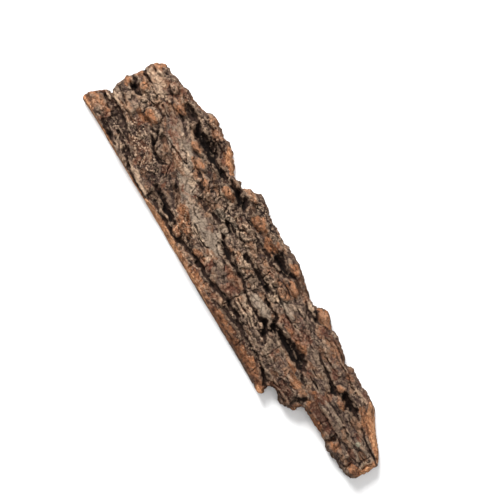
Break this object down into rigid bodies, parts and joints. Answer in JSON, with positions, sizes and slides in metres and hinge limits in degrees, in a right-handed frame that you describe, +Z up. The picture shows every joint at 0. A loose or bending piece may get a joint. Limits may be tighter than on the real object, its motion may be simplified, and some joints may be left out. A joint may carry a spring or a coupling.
{
  "type": "cork bark slab",
  "caption": "Flat rough slab of natural cork bark, furrowed outer face up, hollow inner face down.",
  "frame": {"origin": "middle of the slab's footprint, on the surface that it lies on", "axes": "+X along the grain towards the narrow broken end, +Y across the slab towards the ragged edge, +Z up, out of the rough outer face"},
  "size_m": [0.2402, 0.0566, 0.0167],
  "materials": {
    "cork_bark": "raw cork bark, matt, grey-brown outer skin with orange-brown cork where it is broken"
  },
  "bodies": {
    "root": {"cork_bark": "cork_bark"}
  },
  "joints": []
}
